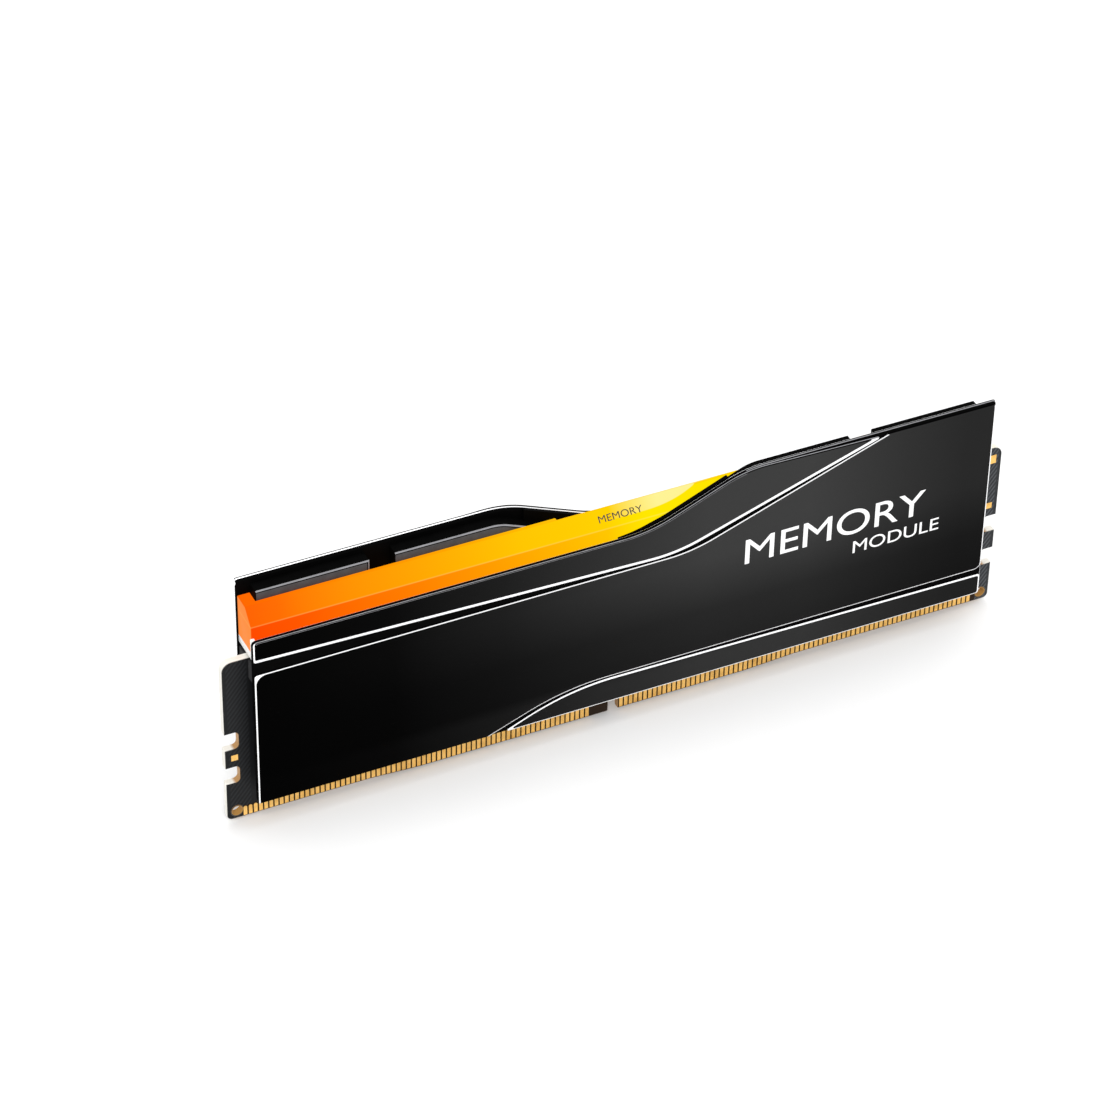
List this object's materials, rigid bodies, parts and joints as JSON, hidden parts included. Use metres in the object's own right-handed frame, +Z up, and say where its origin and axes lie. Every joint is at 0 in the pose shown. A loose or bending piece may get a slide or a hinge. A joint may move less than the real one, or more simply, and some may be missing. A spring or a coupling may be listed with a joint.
{
  "type": "ram module",
  "caption": "Memory module for a computer: a notched circuit card with gold edge contacts between two sculpted black heat spreaders, with a light bar along the top.",
  "frame": {"origin": "middle of the card edge: centre of the board's length and thickness, at its lowest edge", "axes": "+X along the module's length, -Y out of the front heat spreader, +Z up from the card edge to the light bar"},
  "size_m": [0.1334, 0.0078, 0.0434],
  "materials": {
    "solder_mask": "matte black solder mask with pale board edges",
    "gold_plating": "gold-plated copper",
    "gold_contact": "satin gold plating",
    "solder": "dull solder",
    "package_plastic": "matte moulded package",
    "ferrite": "moulded ferrite",
    "ceramic": "ceramic body",
    "resistor_body": "coated film",
    "led_lens": "milky lens",
    "thermal_pad": "soft grey silicone",
    "adhesive_strip": "grey foam tape",
    "anodised_aluminium": "black anodised with bright-cut edges",
    "diffuser": "translucent, lit from inside",
    "carrier_plastic": "white moulded plastic"
  },
  "bodies": {
    "root": {"board": "solder_mask", "capacitors": "ceramic", "clock_driver": "package_plastic", "contacts_back_left": "gold_contact", "contacts_back_right": "gold_contact", "contacts_front_left": "gold_contact", "contacts_front_right": "gold_contact", "edge_strip_back": "adhesive_strip", "edge_strip_front": "adhesive_strip", "heat_spreader_back": "anodised_aluminium", "heat_spreader_front": "anodised_aluminium", "hole_plating_left": "gold_plating", "hole_plating_right": "gold_plating", "leds": "led_lens", "light_bar": "diffuser", "light_carrier": "carrier_plastic", "light_controller": "package_plastic", "memory_chip_1": "package_plastic", "memory_chip_2": "package_plastic", "memory_chip_3": "package_plastic", "memory_chip_4": "package_plastic", "memory_chip_5": "package_plastic", "memory_chip_6": "package_plastic", "memory_chip_7": "package_plastic", "memory_chip_8": "package_plastic", "power_ic": "package_plastic", "power_inductors": "ferrite", "resistors": "resistor_body", "solder_balls": "solder", "spd_hub": "package_plastic", "test_pads": "gold_contact", "thermal_pad_back": "thermal_pad", "thermal_pad_front_left": "thermal_pad", "thermal_pad_front_right": "thermal_pad", "thermal_pad_power": "thermal_pad"}
  },
  "joints": []
}
